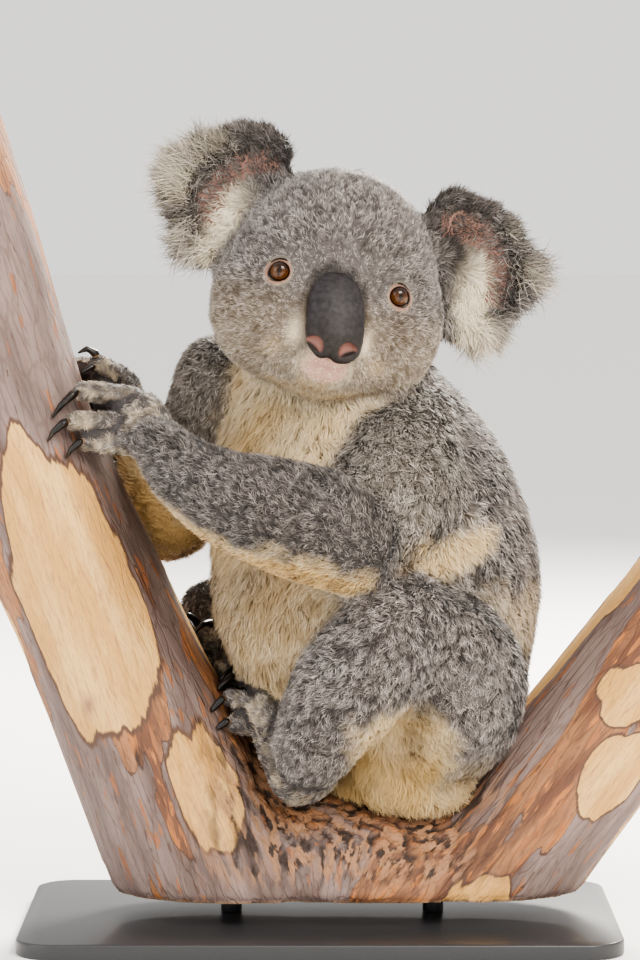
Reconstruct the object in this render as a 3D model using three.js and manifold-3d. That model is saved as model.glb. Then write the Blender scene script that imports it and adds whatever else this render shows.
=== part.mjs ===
// A koala sitting in the fork of a gum tree, one hand and one foot on each side of the left limb.
// Millimetres, +Z up. The animal looks along -Y; its own left side is the near one (-Y).
// The origin is the middle of the underside of the display stand.
import * as THREE from 'three';
import { mergeVertices } from 'three/addons/utils/BufferGeometryUtils.js';
import Module from 'manifold-3d';

const wasm = await Module();
wasm.setup();

// ---- driving dimensions ----
const gap = 0.3; // between touching solids
const sliver = 0.14; // cuts are cleaned to within this
const base = { length: 384, width: 232, thick: 10, corner: 26 };
const rod = { diameter: 14, x: [-58, 74] };
const perchUnderside = 26; // height of the saw cut under the fork
const clawThick = 7; // across a claw's root
const digitEnd = 0.96; // end of a finger or toe, as a share of its root
const buttFlare = 6; // how much wider than deep the fork is at its foot
const leftLimb = { radius: 53, buttRadius: 66 };
const rightLimb = { radius: 51, buttRadius: 60 };

const headCentre = [7, -42, 420];
const headRoll = 12; // degrees, the animal's right ear is the higher
const headYaw = 5; // degrees, face towards the animal's left
const headReach = 140; // beyond the head's surface from its centre, whatever the direction
const earRadius = 40; // roughly, to turn a gap round an ear into a scale
const eye = { apart: 74.5, radius: 8.2, forward: 49.4, up: 2.4 };
const nosePad = {
  width: 37, height: 56, depth: 24, forward: 76, down: 19, lean: 3, tilt: 9, squareHigh: 0.2, squareLow: 0.55,
};

// The front of the trunk turns with height, in degrees from -X towards -Y
const pelvisTurn = 36;
const chestTurn = 55;

const colours = {
  greyFur: 0x6f6763, creamFur: 0xe6dcc4, earFur: 0x8d8580, noseSkin: 0x3b373b, iris: 0x7a5326,
  claw: 0x1c1714, bark: 0xa5846e, standMetal: 0x4a4c50,
};

// ---- geometry helpers ----
const vec = ([x, y, z]) => new THREE.Vector3(x, y, z);
const radians = THREE.MathUtils.degToRad;

// A closed three.js geometry as a manifold solid: shared vertices merged, collapsed pole faces dropped
function solidOf(geometry) {
  const bare = geometry.clone();
  bare.deleteAttribute('normal');
  bare.deleteAttribute('uv');
  const merged = mergeVertices(bare, 1e-4);
  const index = merged.index.array;
  const faces = [];
  for (let i = 0; i < index.length; i += 3) {
    const [a, b, c] = [index[i], index[i + 1], index[i + 2]];
    if (a !== b && b !== c && c !== a) faces.push(a, b, c);
  }
  const vertProperties = Float32Array.from(merged.attributes.position.array);
  const triVerts = Uint32Array.from(faces);
  return new wasm.Manifold(new wasm.Mesh({ numProp: 3, vertProperties, triVerts }));
}

const joined = (solids) => solids.reduce((whole, part) => whole.add(part));

// What is left of a solid once another is taken out of it: the largest piece, without slivers
function cutBy(solid, other) {
  const pieces = solid.subtract(other).simplify(sliver).decompose();
  return pieces.sort((a, b) => b.volume() - a.volume())[0];
}

// A rounded limb. Each station is [x, y, z, half width, half depth]; depth is measured along `front`,
// which turns to `frontEnd` at the last station. `cap` is the length of each end in end radii.
function limb(shape, grow = 0) {
  const { stations, front, frontEnd = front, around = 14, along = 8, rings = 3, cap = [0.7, 0.7] } = shape;
  const path = new THREE.CatmullRomCurve3(stations.map(vec));
  const widths = stations.map(([, , , wide, deep = wide]) => vec([wide, deep, 0]));
  const sizes = new THREE.CatmullRomCurve3(widths);
  const geometry = new THREE.CapsuleGeometry(1, 2, rings, around, along);
  const place = geometry.attributes.position;
  for (let i = 0; i < place.count; i++) {
    const height = place.getY(i);
    const t = path.getUtoTmapping(THREE.MathUtils.clamp((height + 1) / 2, 0, 1));
    const beyond = Math.sign(height) * Math.max(0, Math.abs(height) - 1);
    const size = sizes.getPoint(t);
    const tangent = path.getTangent(t);
    const ahead = vec(front).lerp(vec(frontEnd), t);
    const side = tangent.clone().cross(ahead).normalize();
    ahead.crossVectors(side, tangent);
    const endLength = cap[height < 0 ? 0 : 1] * Math.max(size.x, size.y) + grow;
    const spot = path.getPoint(t)
      .addScaledVector(tangent, beyond * endLength)
      .addScaledVector(side, place.getX(i) * (size.x + grow))
      .addScaledVector(ahead, place.getZ(i) * (size.y + grow));
    place.setXYZ(i, spot.x, spot.y, spot.z);
  }
  return solidOf(geometry);
}

// Moves each vertex of a sphere by a function of its unit direction
function shapedSphere(around, rings, move) {
  const geometry = new THREE.SphereGeometry(1, around, rings);
  const place = geometry.attributes.position;
  for (let i = 0; i < place.count; i++) {
    const spot = move(new THREE.Vector3().fromBufferAttribute(place, i));
    place.setXYZ(i, spot.x, spot.y, spot.z);
  }
  return solidOf(geometry);
}

// ---- perch: the two limbs of the fork and the saddle between them ----
const leftAxis = new THREE.CatmullRomCurve3([
  [-10, 0, -50], [-66, 0, 40], [-109, 0, 121], [-138, 0, 188],
  [-194, 0, 311], [-237, 0, 456], [-268, 0, 552],
].map(vec));

// A point on the left limb: height of the axis, angle from its right edge towards -Y, lift off the bark
function onLimb(height, angle, lift) {
  let [low, high] = [0, 1];
  for (let step = 0; step < 24; step++) {
    const middle = (low + high) / 2;
    [low, high] = leftAxis.getPoint(middle).z < height ? [middle, high] : [low, middle];
  }
  const axis = leftAxis.getPoint(low);
  const along = leftAxis.getTangent(low);
  const right = new THREE.Vector3(along.z, 0, -along.x);
  const out = leftLimb.radius + lift;
  return [
    axis.x + right.x * out * Math.cos(radians(angle)),
    -out * Math.sin(radians(angle)),
    axis.z + right.z * out * Math.cos(radians(angle)),
  ];
}

function perch(grow = 0) {
  const left = leftAxis.points.map((p, i) => {
    const radius = [leftLimb.buttRadius + buttFlare, leftLimb.buttRadius, 59, 55][i] ?? leftLimb.radius;
    return [p.x, p.y, p.z, radius + (i < 2 ? buttFlare : 0), radius];
  });
  const right = [
    [62, 0, -50, rightLimb.buttRadius + buttFlare], [98, 0, 18, rightLimb.buttRadius],
    [145, 0, 80, 53], [249, 0, 214, rightLimb.radius], [262, 0, 231, rightLimb.radius],
  ].map(([x, y, z, radius]) => [x, y, z, radius, radius + 2]);
  const saddle = [
    [-64, 0, 10, 54, 50], [-20, 0, 37, 62, 62], [32, 0, 30, 60, 66],
    [82, 0, 21, 58, 62], [120, 0, 12, 50, 48],
  ];
  const whole = joined([
    limb({ stations: left, front: [0, -1, 0], around: 16, along: 11, rings: 1, cap: [0, 0] }, grow),
    limb({ stations: right, front: [0, -1, 0], around: 16, along: 5, rings: 1, cap: [0, 0] }, grow),
    limb({ stations: saddle, front: [0, -1, 0], around: 12, along: 4, rings: 2 }, grow),
  ]);
  const belowCut = { length: 600, width: 400, height: 200 };
  const ground = new THREE.BoxGeometry(belowCut.length, belowCut.width, belowCut.height)
    .translate(0, 0, perchUnderside - grow - belowCut.height / 2);
  return whole.subtract(solidOf(ground));
}

// ---- head ----
const headMatrix = new THREE.Matrix4().compose(
  vec(headCentre),
  new THREE.Quaternion().setFromEuler(new THREE.Euler(0, radians(headRoll), radians(headYaw), 'ZYX')),
  new THREE.Vector3(1, 1, 1),
);
const fromHead = (point) => vec(point).applyMatrix4(headMatrix);

// Lobes of the furred head: [x, y, z, radius x, y, z], melted together
const headLobes = [
  [0, 6, 14, 64, 64, 62], // skull
  [-36, -6, -20, 40, 50, 46], [36, -6, -20, 40, 50, 46], // cheeks
  [0, -32, -27, 33, 52, 37], // muzzle
  [0, -37, -50, 25, 34, 20], // chin
  [0, -34, 26, 44, 26, 26], // brow
];
const lobeBlend = 6;

function headField(point, grow) {
  const sum = headLobes.reduce((total, [x, y, z, rx, ry, rz]) => {
    const away = [(point.x - x) / (rx + grow), (point.y - y) / (ry + grow), (point.z - z) / (rz + grow)];
    return total + Math.exp(-(Math.hypot(...away) - 1) * Math.min(rx, ry, rz) / lobeBlend);
  }, 0);
  return -lobeBlend * Math.log(sum);
}

function head(grow = 0) {
  return shapedSphere(22, 14, (direction) => {
    const ray = new THREE.Vector3(direction.x, -direction.z, direction.y);
    let reach = headReach;
    while (headField(ray.clone().multiplyScalar(reach), grow) > 0) reach -= 1;
    let [inside, outside] = [reach, reach + 1];
    for (let step = 0; step < 12; step++) {
      const middle = (inside + outside) / 2;
      const clear = headField(ray.clone().multiplyScalar(middle), grow) > 0;
      [inside, outside] = clear ? [inside, middle] : [middle, outside];
    }
    return fromHead(ray.multiplyScalar(inside).toArray());
  });
}

// side is -1 for the animal's right eye and +1 for its left
function eyeball(side, grow = 0) {
  const radius = eye.radius + grow;
  return shapedSphere(10, 6, (d) =>
    fromHead([side * eye.apart / 2 + d.x * radius, -eye.forward - d.z * radius, eye.up + d.y * radius]));
}

function nose(grow = 0) {
  return shapedSphere(14, 8, (d) => {
    const squareness = d.y < 0 ? nosePad.squareLow : nosePad.squareHigh;
    const x = d.x * (nosePad.width / 2 + grow) * (1 + squareness * d.y * d.y) + nosePad.lean * -d.y;
    const z = -nosePad.down + d.y * (nosePad.height / 2 + grow);
    const y = -nosePad.forward - d.z * (nosePad.depth / 2 + grow) + d.y * nosePad.tilt;
    return fromHead([x, y, z]);
  });
}

// An ear out to the tips of its fringe: a rim in the head's XZ plane, dished towards the front
function ear({ middle, rim, thick, dish, sweep }, grow = 0) {
  const outline = new THREE.CatmullRomCurve3(rim.map(([x, z]) => vec([x, 0, z])), true);
  return shapedSphere(18, 6, (d) => {
    const around = (Math.atan2(d.z, d.x) / (2 * Math.PI) + 1) % 1;
    const out = Math.hypot(d.x, d.z);
    const edge = outline.getPoint(around).multiplyScalar(out);
    const reach = 1 + grow / earRadius;
    const depth = d.y * (thick / 2 + grow) + dish * (1 - out * out) + sweep * edge.x;
    return vec([middle[0] + edge.x * reach, middle[1] + depth, middle[2] + edge.z * reach]);
  });
}

// Rims run anticlockwise seen from the front, from the point at the animal's left (+X)
const earShapes = {
  right: {
    middle: [-66, -36, 474], thick: 22, dish: 15, sweep: -0.12,
    rim: [
      [46, 4], [50, 34], [37, 48], [7, 51], [-24, 45], [-46, 28],
      [-41, 6], [-36, -17], [-30, -39], [-20, -53], [6, -42],
    ],
  },
  left: {
    middle: [106, -36, 428], thick: 22, dish: 15, sweep: 0.12,
    rim: [
      [44, -2], [37, 20], [16, 40], [-8, 51], [-24, 56], [-40, 42],
      [-46, 4], [-30, -40], [-6, -64], [14, -46], [34, -22],
    ],
  },
};

// ---- neck and trunk ----
const facing = (turn) => [-Math.cos(radians(turn)), -Math.sin(radians(turn)), 0];

const neck = (grow) => limb({
  front: facing(chestTurn), around: 14, along: 1, rings: 2,
  stations: [[8, 4, 352, 58, 54], [7, -4, 368, 62, 60], [6, -14, 384, 60, 56]],
}, grow);

const trunk = (grow) => limb({
  front: facing(pelvisTurn), frontEnd: facing(chestTurn), around: 20, along: 9, rings: 3, cap: [0.62, 0.6],
  stations: [
    [50, 4, 110, 67, 54], [55, 4, 141, 84, 76], [47, 6, 182, 95, 104], [39, 6, 224, 101, 115],
    [30, 4, 267, 100, 108], [19, 0, 306, 92, 92], [9, -3, 338, 80, 76], [5, -4, 364, 66, 62],
  ],
}, grow);

// ---- arms and legs, by side ----
const limbs = {
  left: {
    upper_arm: [[48, -28, 330, 40], [48, -68, 302, 44], [40, -94, 276, 38], [30, -106, 264, 28]],
    forearm: [
      [28, -113, 260, 35], [-12, -112, 276, 39], [-50, -100, 285, 33],
      [-80, -82, 299, 27], [-106, -60, 323, 18],
    ],
    palm: [[-104, -56, 323, 17, 15], [-114, -47, 330, 22, 13.5], [-121, -40, 335, 23, 11.5]],
    thigh: [[78, -30, 142, 50], [88, -60, 168, 47], [82, -84, 196, 37], [66, -98, 216, 24]],
    shin: [
      [60, -104, 222, 30], [42, -106, 200, 37], [20, -100, 172, 38],
      [4, -86, 147, 33], [-6, -68, 124, 27],
    ],
    sole: [[-9, -58, 106, 24], [-17, -53, 124, 24], [-25, -46, 141, 22, 20], [-32, -38, 150, 19, 15]],
  },
  right: {
    upper_arm: [[-58, 16, 360, 38], [-74, 36, 326, 33], [-86, 48, 286, 27], [-92, 52, 262, 20]],
    forearm: [[-95, 54, 252, 26], [-108, 54, 284, 26], [-120, 48, 314, 22], [-128, 40, 336, 17]],
    palm: [[-128, 38, 336, 16, 14], [-134, 31, 348, 19, 14], [-139, 22, 357, 16, 12]],
    thigh: [[52, 18, 140, 54], [10, 58, 160, 50], [-30, 74, 184, 37], [-58, 75, 200, 23]],
    shin: [[-69, 76, 204, 29], [-64, 72, 178, 31], [-46, 62, 148, 28], [-30, 52, 118, 22]],
    sole: [[-42, 46, 104, 20, 18], [-50, 43, 124, 20, 18], [-60, 40, 148, 19, 16], [-66, 37, 168, 17, 13]],
  },
};

// Each digit runs from a root inside the palm or sole to a tip round the left limb, and its claw hooks
// on to the bark. Tips and claws are [height of the axis, angle, lift] as onLimb reads them.
const digits = {
  left_hand: [
    { name: 'thumb', root: [-122, -26, 331, 8], tip: [318, -22, 8], claw: [314, -40, 1] },
    { name: 'index', root: [-125, -26, 342, 8], tip: [331, -20, 8], claw: [327, -37, 1] },
    { name: 'middle', root: [-116, -36, 348, 7.6], tip: [337, 34, 9], claw: [326, 56, 0] },
    { name: 'ring', root: [-114, -45, 333, 7.6], tip: [320, 48, 8], claw: [313, 65, 0] },
    { name: 'little', root: [-113, -53, 318, 7.4], tip: [304, 43, 8], claw: [299, 57, 0] },
  ],
  right_hand: [
    { name: 'thumb', root: [-134, 16, 360, 8], tip: [350, -6, 10], claw: [360, -2, 1] },
    { name: 'index', root: [-136, 18, 350, 8], tip: [341, -12, 10], claw: [347, 4, 0] },
    { name: 'middle', root: [-138, 32, 362, 9], tip: [352, -50, 8], claw: [350, -70, 0] },
    { name: 'ring', root: [-136, 38, 350, 9], tip: [338, -54, 8], claw: [335, -74, 0] },
    { name: 'little', root: [-132, 42, 338, 8], tip: [324, -50, 8], claw: [320, -68, 0] },
  ],
  left_foot: [
    { name: 'big_toe', root: [-30, -26, 130, 11], tip: [108, -16, 11] },
    { name: 'groom_inner', root: [-36, -24, 163, 6.4], tip: [140, -6, 14], claw: [138, 12, 0] },
    { name: 'groom_outer', root: [-36, -34, 162, 6.4], tip: [138, 8, 15], claw: [134, 24, 0] },
    { name: 'fourth', root: [-34, -42, 149, 7.2], tip: [130, 26, 12], claw: [124, 40, 0] },
    { name: 'fifth', root: [-32, -46, 134, 7], tip: [114, 31, 10], claw: [113, 43, 0] },
  ],
  right_foot: [
    { name: 'big_toe', root: [-62, 30, 152, 11], tip: [144, -6, 10] },
    { name: 'groom_inner', root: [-72, 34, 178, 8], tip: [167, -28, 16], claw: [171, -16, 1] },
    { name: 'groom_outer', root: [-72, 40, 176, 8], tip: [168, -38, 13], claw: [180, -34, 1] },
    { name: 'fourth', root: [-68, 48, 168, 10], tip: [156, -52, 11], claw: [160, -68, 0] },
    { name: 'fifth', root: [-62, 52, 154, 9.5], tip: [142, -54, 10], claw: [142, -70, 0] },
  ],
};

function digit({ root, tip }, grow = 0) {
  const [start, end, radius] = [vec(root), vec(onLimb(...tip)), root[3]];
  const knuckle = vec(onLimb(tip[0], tip[1], tip[2] + 4)).lerp(start, 0.5);
  const stations = [[...start, radius], [...knuckle, radius], [...end, radius * digitEnd]];
  return limb({ stations, front: [0, -1, 0.2], around: 6, along: 2, rings: 1, cap: [0.3, 0.8] }, grow);
}

// A hooked claw from the end of its digit down to the bark
function claw({ root, tip, claw: point }, grow = 0) {
  const mix = (t, rise, arch) => onLimb(
    ...tip.map((value, i) => THREE.MathUtils.lerp(value, point[i], t) + [arch, 0, rise][i]));
  const thick = clawThick / 2;
  const stations = [[0, 2, 0.5, 1], [0.36, 6, 3.5, 1], [0.76, 6, 3.5, 0.72], [1, 1, 0, 0.25]].map(
    ([t, rise, arch, size]) => [...mix(t, rise, arch), thick * size * 0.85, thick * size]);
  return limb({ stations, front: [0, -1, 0.2], around: 5, along: 3, rings: 1 }, grow);
}

// ---- stand ----
function standBase() {
  const [x, y] = [base.length / 2 - base.corner, base.width / 2 - base.corner];
  const outline = new THREE.Shape();
  [[x, -y], [x, y], [-x, y], [-x, -y]].forEach((middle, i) => {
    outline.absarc(...middle, base.corner, (i - 1) * Math.PI / 2, i * Math.PI / 2);
  });
  return new THREE.ExtrudeGeometry(outline, { depth: base.thick, bevelEnabled: false, curveSegments: 4 });
}

function standRod() {
  const length = perchUnderside - base.thick - 2 * gap;
  return new THREE.CylinderGeometry(rod.diameter / 2, rod.diameter / 2, length, 14).rotateX(Math.PI / 2)
    .translate(0, 0, base.thick + gap + length / 2);
}

// ---- the scene ----
const model = new THREE.Group();
const koala = new THREE.Group();
const stand = new THREE.Group();
model.add(koala, stand);

function finish(color, roughness, metalness = 0) {
  return new THREE.MeshStandardMaterial({ color, roughness, metalness });
}

const materials = {
  grey: finish(colours.greyFur, 0.95),
  cream: finish(colours.creamFur, 0.95),
  ear: finish(colours.earFur, 0.95),
  nose: finish(colours.noseSkin, 0.5),
  eye: finish(colours.iris, 0.1),
  claw: finish(colours.claw, 0.4),
  bark: finish(colours.bark, 0.85),
  stand: finish(colours.standMetal, 0.4, 0.8),
};

function meshOf(name, solid, material) {
  const { vertProperties, triVerts } = solid.getMesh();
  const geometry = new THREE.BufferGeometry();
  geometry.setAttribute('position', new THREE.BufferAttribute(vertProperties, 3));
  geometry.setIndex(new THREE.BufferAttribute(triVerts, 1));
  geometry.computeVertexNormals();
  const mesh = new THREE.Mesh(geometry, material);
  mesh.name = name;
  return mesh;
}

// Pieces are placed in turn. Each is cut by all that were placed before it, a gap away from them.
let taken = perch(gap);
model.add(meshOf('perch_fork', perch().simplify(sliver), materials.bark));

function place(name, shape, material) {
  koala.add(meshOf(name, cutBy(shape(0), taken), material));
  taken = taken.add(shape(gap));
}

const signs = { right: -1, left: 1 };
const sides = Object.keys(signs);
for (const side of sides) place(`eye_${side}`, (grow) => eyeball(signs[side], grow), materials.eye);
place('nose_pad', nose, materials.nose);
place('head', head, materials.grey);
for (const side of sides) place(`ear_${side}`, (grow) => ear(earShapes[side], grow), materials.ear);
place('neck', neck, materials.cream);
place('trunk', trunk, materials.grey);

const round = { around: 12, along: 5, rings: 2 };
const flat = { around: 8, along: 2, rings: 2 };
for (const side of sides) {
  const shape = (part, detail) => (grow) =>
    limb({ stations: limbs[side][part], front: [0, -1, 0.2], ...detail }, grow);
  for (const part of ['forearm', 'shin', 'upper_arm', 'thigh']) {
    place(`${part}_${side}`, shape(part, round), materials.grey);
  }
  for (const [end, part] of [['hand', 'palm'], ['foot', 'sole']]) {
    const toes = digits[`${side}_${end}`];
    const whole = (grow) => joined([shape(part, flat)(grow), ...toes.map((toe) => digit(toe, grow))]);
    place(`${end}_${side}`, whole, materials.grey);
    for (const toe of toes.filter((one) => one.claw)) {
      place(`claw_${end}_${side}_${toe.name}`, (grow) => claw(toe, grow), materials.claw);
    }
  }
}

const plate = new THREE.Mesh(standBase(), materials.stand);
plate.name = 'stand_base';
stand.add(plate);
rod.x.forEach((x, i) => {
  const post = new THREE.Mesh(standRod(), materials.stand);
  post.name = `stand_rod_${i + 1}`;
  post.position.x = x;
  stand.add(post);
});

export default model;
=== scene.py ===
import math

import bpy
import numpy as np
from mathutils import Matrix, Vector, noise
from mathutils.bvhtree import BVHTree
from mathutils.kdtree import KDTree


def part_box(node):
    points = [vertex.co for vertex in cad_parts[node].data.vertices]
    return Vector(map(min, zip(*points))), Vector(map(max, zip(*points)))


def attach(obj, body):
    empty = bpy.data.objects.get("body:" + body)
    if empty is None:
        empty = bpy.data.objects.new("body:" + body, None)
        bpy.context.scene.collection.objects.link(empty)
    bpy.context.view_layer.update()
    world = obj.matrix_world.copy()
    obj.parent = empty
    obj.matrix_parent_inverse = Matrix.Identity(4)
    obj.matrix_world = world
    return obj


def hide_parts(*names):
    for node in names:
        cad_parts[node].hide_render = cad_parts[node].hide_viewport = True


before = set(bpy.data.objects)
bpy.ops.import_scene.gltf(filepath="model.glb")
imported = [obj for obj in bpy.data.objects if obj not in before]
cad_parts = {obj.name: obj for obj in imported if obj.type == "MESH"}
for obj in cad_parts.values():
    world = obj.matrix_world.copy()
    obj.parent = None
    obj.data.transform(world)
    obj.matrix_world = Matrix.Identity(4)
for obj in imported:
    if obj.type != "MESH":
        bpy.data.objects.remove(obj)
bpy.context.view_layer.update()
mm = 0.001
randomSeed = 41
sides = (("right", -1), ("left", 1))


# Small helpers for meshes

def selectOnly(piece):
    bpy.ops.object.select_all(action="DESELECT")
    piece.select_set(True)
    bpy.context.view_layer.objects.active = piece


def applyModifier(piece, kind, **settings):
    selectOnly(piece)
    modifier = piece.modifiers.new(kind.title(), kind)
    for name, value in settings.items():
        setattr(modifier, name, value)
    bpy.ops.object.modifier_apply(modifier=modifier.name)


def valuesOf(mesh, key):
    values = np.empty(len(mesh.vertices) * 3)
    mesh.vertices.foreach_get(key, values)
    return values.reshape(-1, 3)


def pointsOf(mesh):
    return valuesOf(mesh, "co")


def normalsOf(mesh):
    return valuesOf(mesh, "normal")


def movePoints(mesh, points):
    mesh.vertices.foreach_set("co", points.ravel())
    mesh.update()


def shadeSmooth(mesh):
    mesh.polygons.foreach_set("use_smooth", [True] * len(mesh.polygons))


def unit(vectors):
    return vectors / np.maximum(np.linalg.norm(vectors, axis=-1, keepdims=True), 1e-9)


def ease(low, high, values):
    t = np.clip((values - low) / (high - low), 0, 1)
    return t * t * (3 - 2 * t)


def bell(values, half):
    return np.exp(-(values / half) ** 2)


def noiseAt(points, size, shift=0.0):
    away = Vector((shift, shift * 1.7, -shift))
    return np.array([noise.noise(Vector(p) / size + away) for p in points])


def storeColour(mesh, name, *channels):
    rgba = np.ones((len(mesh.vertices), 4))
    rgba[:, :len(channels)] = np.stack(channels, 1)
    mesh.attributes.new(name, "FLOAT_COLOR", "POINT").data.foreach_set("color", rgba.ravel())


def storeValues(mesh, name, values):
    kind, field = ("FLOAT_VECTOR", "vector") if np.ndim(values) == 2 else ("FLOAT", "value")
    mesh.attributes.new(name, kind, "POINT").data.foreach_set(field, np.ravel(values))


def inScene(name, data):
    piece = bpy.data.objects.new(name, data)
    bpy.context.scene.collection.objects.link(piece)
    return piece


def copyOf(name, *nodes):
    # one welded copy of some frame nodes, each a hair larger so that the gaps between them close
    closing = 0.6 * mm
    made = []
    for node in nodes:
        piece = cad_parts[node].copy()
        piece.data = piece.data.copy()
        piece.parent = None
        for key in list(piece.keys()):
            del piece[key]
        bpy.context.scene.collection.objects.link(piece)
        applyModifier(piece, "WELD", merge_threshold=0.01 * mm)
        if len(nodes) > 1:
            applyModifier(piece, "DISPLACE", strength=closing, mid_level=0)
        made.append(piece)
    selectOnly(made[0])
    for piece in made:
        piece.select_set(True)
    if len(made) > 1:
        bpy.ops.object.join()
    whole = bpy.context.object
    whole.name = whole.data.name = name
    return whole


def neighbourTable(mesh, most=6):
    edges = np.empty(len(mesh.edges) * 2, int)
    mesh.edges.foreach_get("vertices", edges)
    pairs = np.concatenate([edges.reshape(-1, 2), edges.reshape(-1, 2)[:, ::-1]])
    pairs = pairs[np.argsort(pairs[:, 0], kind="stable")]
    counts = np.bincount(pairs[:, 0], minlength=len(mesh.vertices))
    slot = np.arange(len(pairs)) - np.repeat(np.cumsum(counts) - counts, counts)
    keep = slot < most
    table = np.tile(np.arange(len(mesh.vertices))[:, None], (1, most))
    table[pairs[keep, 0], slot[keep]] = pairs[keep, 1]
    return table, np.minimum(counts, most)


def remeshed(name, voxel, *nodes):
    # one even surface over some frame nodes, with each point's neighbours
    piece = copyOf(name, *nodes)
    applyModifier(piece, "REMESH", mode="VOXEL", voxel_size=voxel * mm)
    return piece, *neighbourTable(piece.data)


def relaxed(values, table, counts, rounds, amount=0.5):
    # unused slots of the table point at the vertex itself, so its own share is taken off again
    spare = (table.shape[1] - counts)[:, None]
    for _ in range(rounds):
        mean = (values[table].sum(1) - spare * values) / np.maximum(counts, 1)[:, None]
        values = values + (mean - values) * amount
    return values


def finishPiece(piece, slot, material, *nodes):
    piece.data.materials.clear()
    piece.data.materials.append(material)
    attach(piece, "root")
    if nodes:
        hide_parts(*nodes)


# The head's own axes: x to its left, y backwards, z up, found from the eyes

head = {"roll": 12, "yaw": 5, "eyeForward": 49.4, "eyeUp": 2.4, "eyeRadius": 8.2}


def middleOf(node):
    low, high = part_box(node)
    return np.array((low + high) / 2)


rolled = Matrix.Rotation(math.radians(head["roll"]), 3, "Y")
turned = Matrix.Rotation(math.radians(head["yaw"]), 3, "Z")
eyeMiddle = {side: middleOf("eye_" + side) for side, sign in sides}
across = unit(eyeMiddle["left"] - eyeMiddle["right"])
tilted = np.array(rolled @ turned) @ np.array([0, 0, 1.0])
backward = unit(np.cross(tilted, across))
upward = np.cross(across, backward)
headAxes = np.array([across, backward, upward])
headOrigin = ((eyeMiddle["left"] + eyeMiddle["right"]) / 2
              + backward * head["eyeForward"] * mm - upward * head["eyeUp"] * mm)


def inHead(points):
    return (points - headOrigin) @ headAxes.T / mm


def fromHead(x, y, z):
    return headOrigin + np.array([x, y, z]) * mm @ headAxes


# Skin: all the flesh as one closed surface, blended where the parts meet, inside the tips of the coat

skinLook = {
    "voxel": 2.0, "roundsSoft": 20, "roundsFine": 4, "labelRounds": 32, "kept": 0.62,
    "eyeClear": 15, "noseClear": 9,
}
earLook = {
    "drawnIn": 0.27, "fringe": 26, "rimFrom": 0.5, "rimTo": 0.82, "bandWide": 19,
    "band": ((7, -10), (5, 8), (-4, 22), (-20, 28), (-33, 29)),  # the bare band, out and up from the middle
}
lidLook = {"reach": 6.9, "innerReach": 3.8, "innerWay": (-0.72, -0.70)}  # across towards the nose, and up
lipLook = {"up": -51, "half": (17, 11.5), "mouthUp": -48.5, "mouthDeep": 1.6}

# a hair's length, the coat's depth over the skin, a tuft's width, and the hair's rise from the skin in degrees
coatSizes = ("length", "depth", "width", "rise")
coatLook = {
    "head": (9, 5.2, 0.74, 44),
    "neck": (13, 6.5, 1.1, 36),
    "trunk": (9.5, 5.8, 0.95, 42),
    "ear": (11, 4.5, 0.75, 40),
    "upper_arm": (7.5, 4.6, 0.78, 44),
    "forearm": (6.0, 3.6, 0.66, 44),
    "thigh": (7.5, 4.6, 0.78, 44),
    "shin": (6.4, 3.8, 0.7, 44),
    "hand": (4.0, 1.3, 0.62, 30),
    "foot": (4.2, 1.4, 0.62, 30),
}

# The way the hair lies on each part, before it is laid along the surface
lieOfCoat = {
    "neck": (0.1, 0.1, -1), "trunk": (0.18, 0.12, -1),
    "upper_arm_left": (-0.17, -0.6, -0.78), "upper_arm_right": (-0.32, 0.34, -0.9),
    "forearm_left": (-0.86, 0.34, 0.40), "forearm_right": (-0.35, -0.15, 0.92),
    "hand_left": (-0.85, 0.5, 0.1), "hand_right": (-0.7, -0.5, 0.5),
    "thigh_left": (0.1, -0.5, -0.8), "thigh_right": (-0.8, 0.4, -0.3),
    "shin_left": (-0.54, 0.2, -0.8), "shin_right": (0.35, -0.2, -0.9),
    "foot_left": (-0.75, 0.4, 0.5), "foot_right": (-0.6, -0.3, 0.7),
}

fleshNodes = sorted(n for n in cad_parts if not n.startswith(("stand", "perch", "claw", "eye", "nose")))


def kindOf(node):
    return node.replace("_left", "").replace("_right", "")


skin, table, counts = remeshed("skin", skinLook["voxel"], *fleshNodes)

# Each point of the skin belongs to the part it lies nearest, softened across the joints
finder = KDTree(sum(len(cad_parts[n].data.polygons) * 4 for n in fleshNodes))
owner = []
for number, node in enumerate(fleshNodes):
    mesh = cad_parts[node].data
    for polygon in mesh.polygons:
        corners = [mesh.vertices[i].co for i in polygon.vertices]
        for spot in [polygon.center] + [(corner + polygon.center) / 2 for corner in corners]:
            finder.insert(spot, len(owner))
            owner.append(number)
finder.balance()
points = pointsOf(skin.data)
nearest = np.array([owner[finder.find(Vector(p))[1]] for p in points])
shares = relaxed(np.eye(len(fleshNodes))[nearest], table, counts, skinLook["labelRounds"])


def share(*kinds):
    return shares[:, [i for i, n in enumerate(fleshNodes) if kindOf(n) in kinds or n in kinds]].sum(1)


def looked(key):
    return shares @ np.array([coatLook[kindOf(n)][coatSizes.index(key)] for n in fleshNodes])


fine = share("hand", "foot", "ear")[:, None]
smooth = relaxed(points, table, counts, skinLook["roundsSoft"])
points = smooth * (1 - fine) + relaxed(points, table, counts, skinLook["roundsFine"], 0.35) * fine

# An ear's skin is drawn in from its outline, to leave room for the fringe
for side, sign in sides:
    away = inHead(points) - inHead(middleOf("ear_" + side)[None])[0]
    outerSide = share("ear_" + side) * ease(-16, 12, sign * away[:, 0] - 0.25 * away[:, 2])
    points = points - away * (outerSide * earLook["drawnIn"])[:, None] @ headAxes * mm
movePoints(skin.data, points)

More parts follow.
